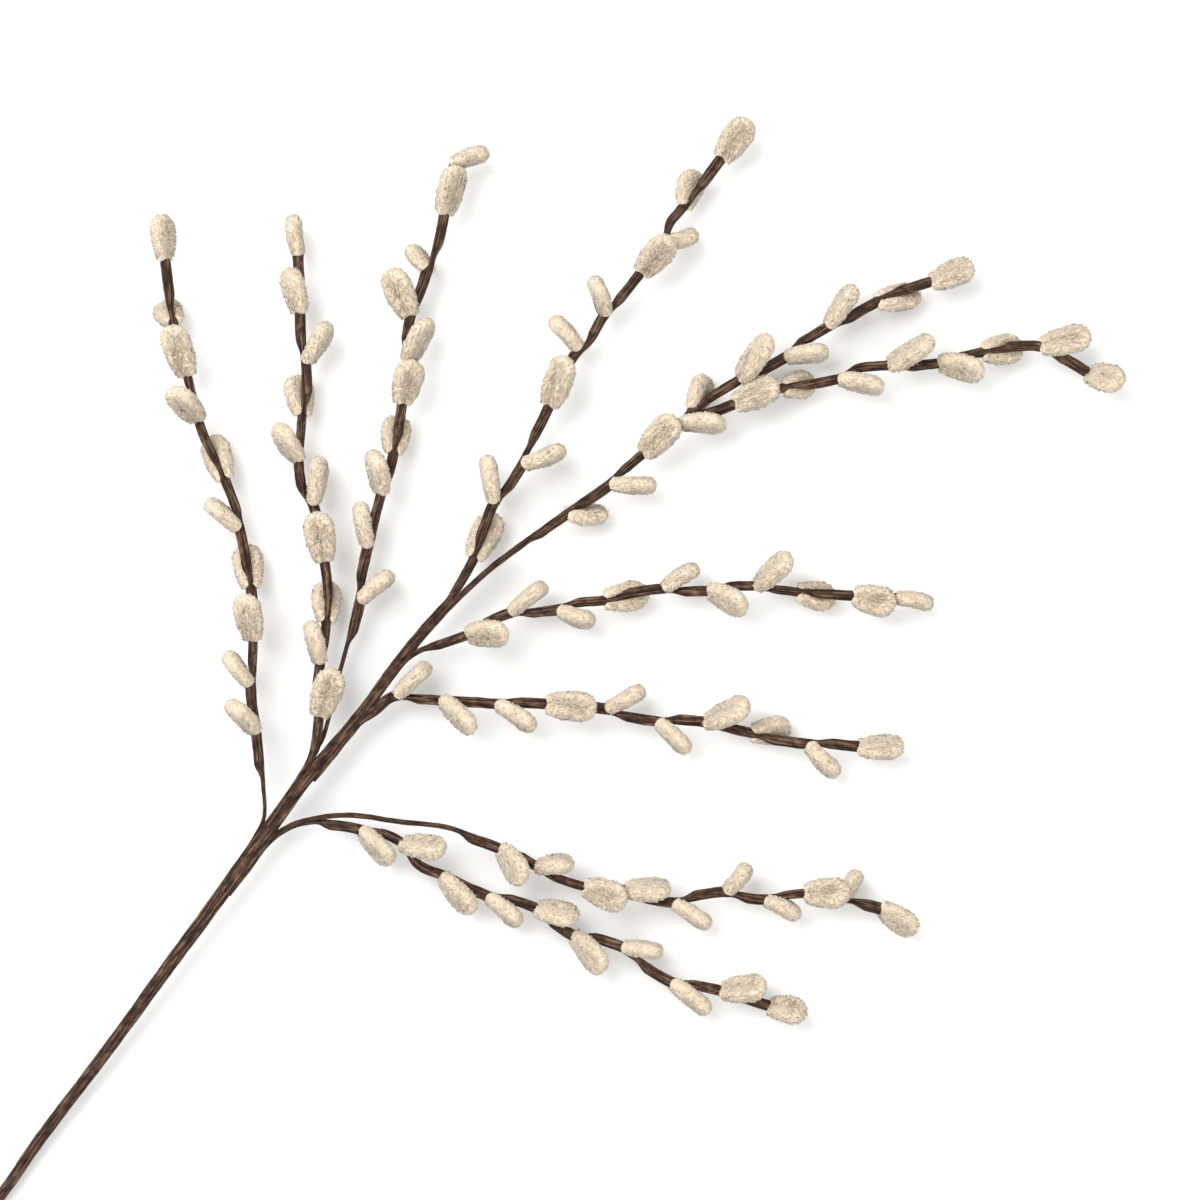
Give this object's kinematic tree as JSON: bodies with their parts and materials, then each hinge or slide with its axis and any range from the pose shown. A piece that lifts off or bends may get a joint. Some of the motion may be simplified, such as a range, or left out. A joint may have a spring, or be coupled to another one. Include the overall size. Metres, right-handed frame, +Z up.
{
  "type": "artificial pussy willow spray",
  "caption": "Artificial pussy willow spray: a forked stem wrapped in brown floral tape, its sprigs lined with cream catkins folded from chenille.",
  "frame": {"origin": "middle of the bounding box in plan, on the surface that the spray lies on", "axes": "+Y runs along the main stem from its cut end towards the tips, +Z is up from the surface, +X is to the right seen from above with the tips up"},
  "size_m": [0.4177, 0.6014, 0.0289],
  "materials": {
    "floral_tape": "matt dark brown crepe floral tape, wound in a shallow spiral, creased lengthways, slightly waxy",
    "chenille": "cream chenille stem, short dense pile, matt, soft outline",
    "core_wire": "dull cut steel wire"
  },
  "bodies": {
    "root": {"stem_wrapping": "floral_tape", "core_wire": "core_wire", "sprig_a": "floral_tape", "catkins_a1_2": "chenille", "catkins_a3_4": "chenille", "catkins_a5_6": "chenille", "catkins_a7_8": "chenille", "catkins_a9_10": "chenille", "sprig_b": "floral_tape", "catkins_b1_2": "chenille", "catkins_b3_4": "chenille", "catkins_b5_6": "chenille", "catkins_b7_8": "chenille", "catkins_b9_10": "chenille", "sprig_c": "floral_tape", "catkins_c1_2": "chenille", "catkins_c3_4": "chenille", "catkins_c5_6": "chenille", "catkins_c7_8": "chenille", "catkins_c9_10": "chenille", "sprig_d": "floral_tape", "catkins_d1_2": "chenille", "catkins_d3_4": "chenille", "catkins_d5_6": "chenille", "catkins_d7_8": "chenille", "catkins_d9_10": "chenille", "sprig_e": "floral_tape", "catkins_e1_2": "chenille", "catkins_e3_4": "chenille", "catkins_e5_6": "chenille", "catkins_e7_8": "chenille", "catkins_e9_10": "chenille", "sprig_f": "floral_tape", "catkins_f1_3": "chenille", "catkins_f4_6": "chenille", "catkins_f7_8": "chenille", "sprig_g": "floral_tape", "catkins_g1_2": "chenille", "catkins_g3_4": "chenille", "catkins_g5_6": "chenille", "catkins_g7_8": "chenille", "catkins_g9_10": "chenille", "sprig_h": "floral_tape", "catkins_h1_2": "chenille", "catkins_h3_4": "chenille", "catkins_h5_6": "chenille", "catkins_h7_8": "chenille", "catkins_h9_10": "chenille", "sprig_i": "floral_tape", "catkins_i1_2": "chenille", "catkins_i3_4": "chenille", "catkins_i5_6": "chenille", "catkins_i7_8": "chenille", "catkins_i9_10": "chenille", "sprig_j": "floral_tape", "catkins_j1_2": "chenille", "catkins_j3_4": "chenille", "catkins_j5_6": "chenille", "catkins_j7_8": "chenille", "catkins_j9_10": "chenille"}
  },
  "joints": []
}
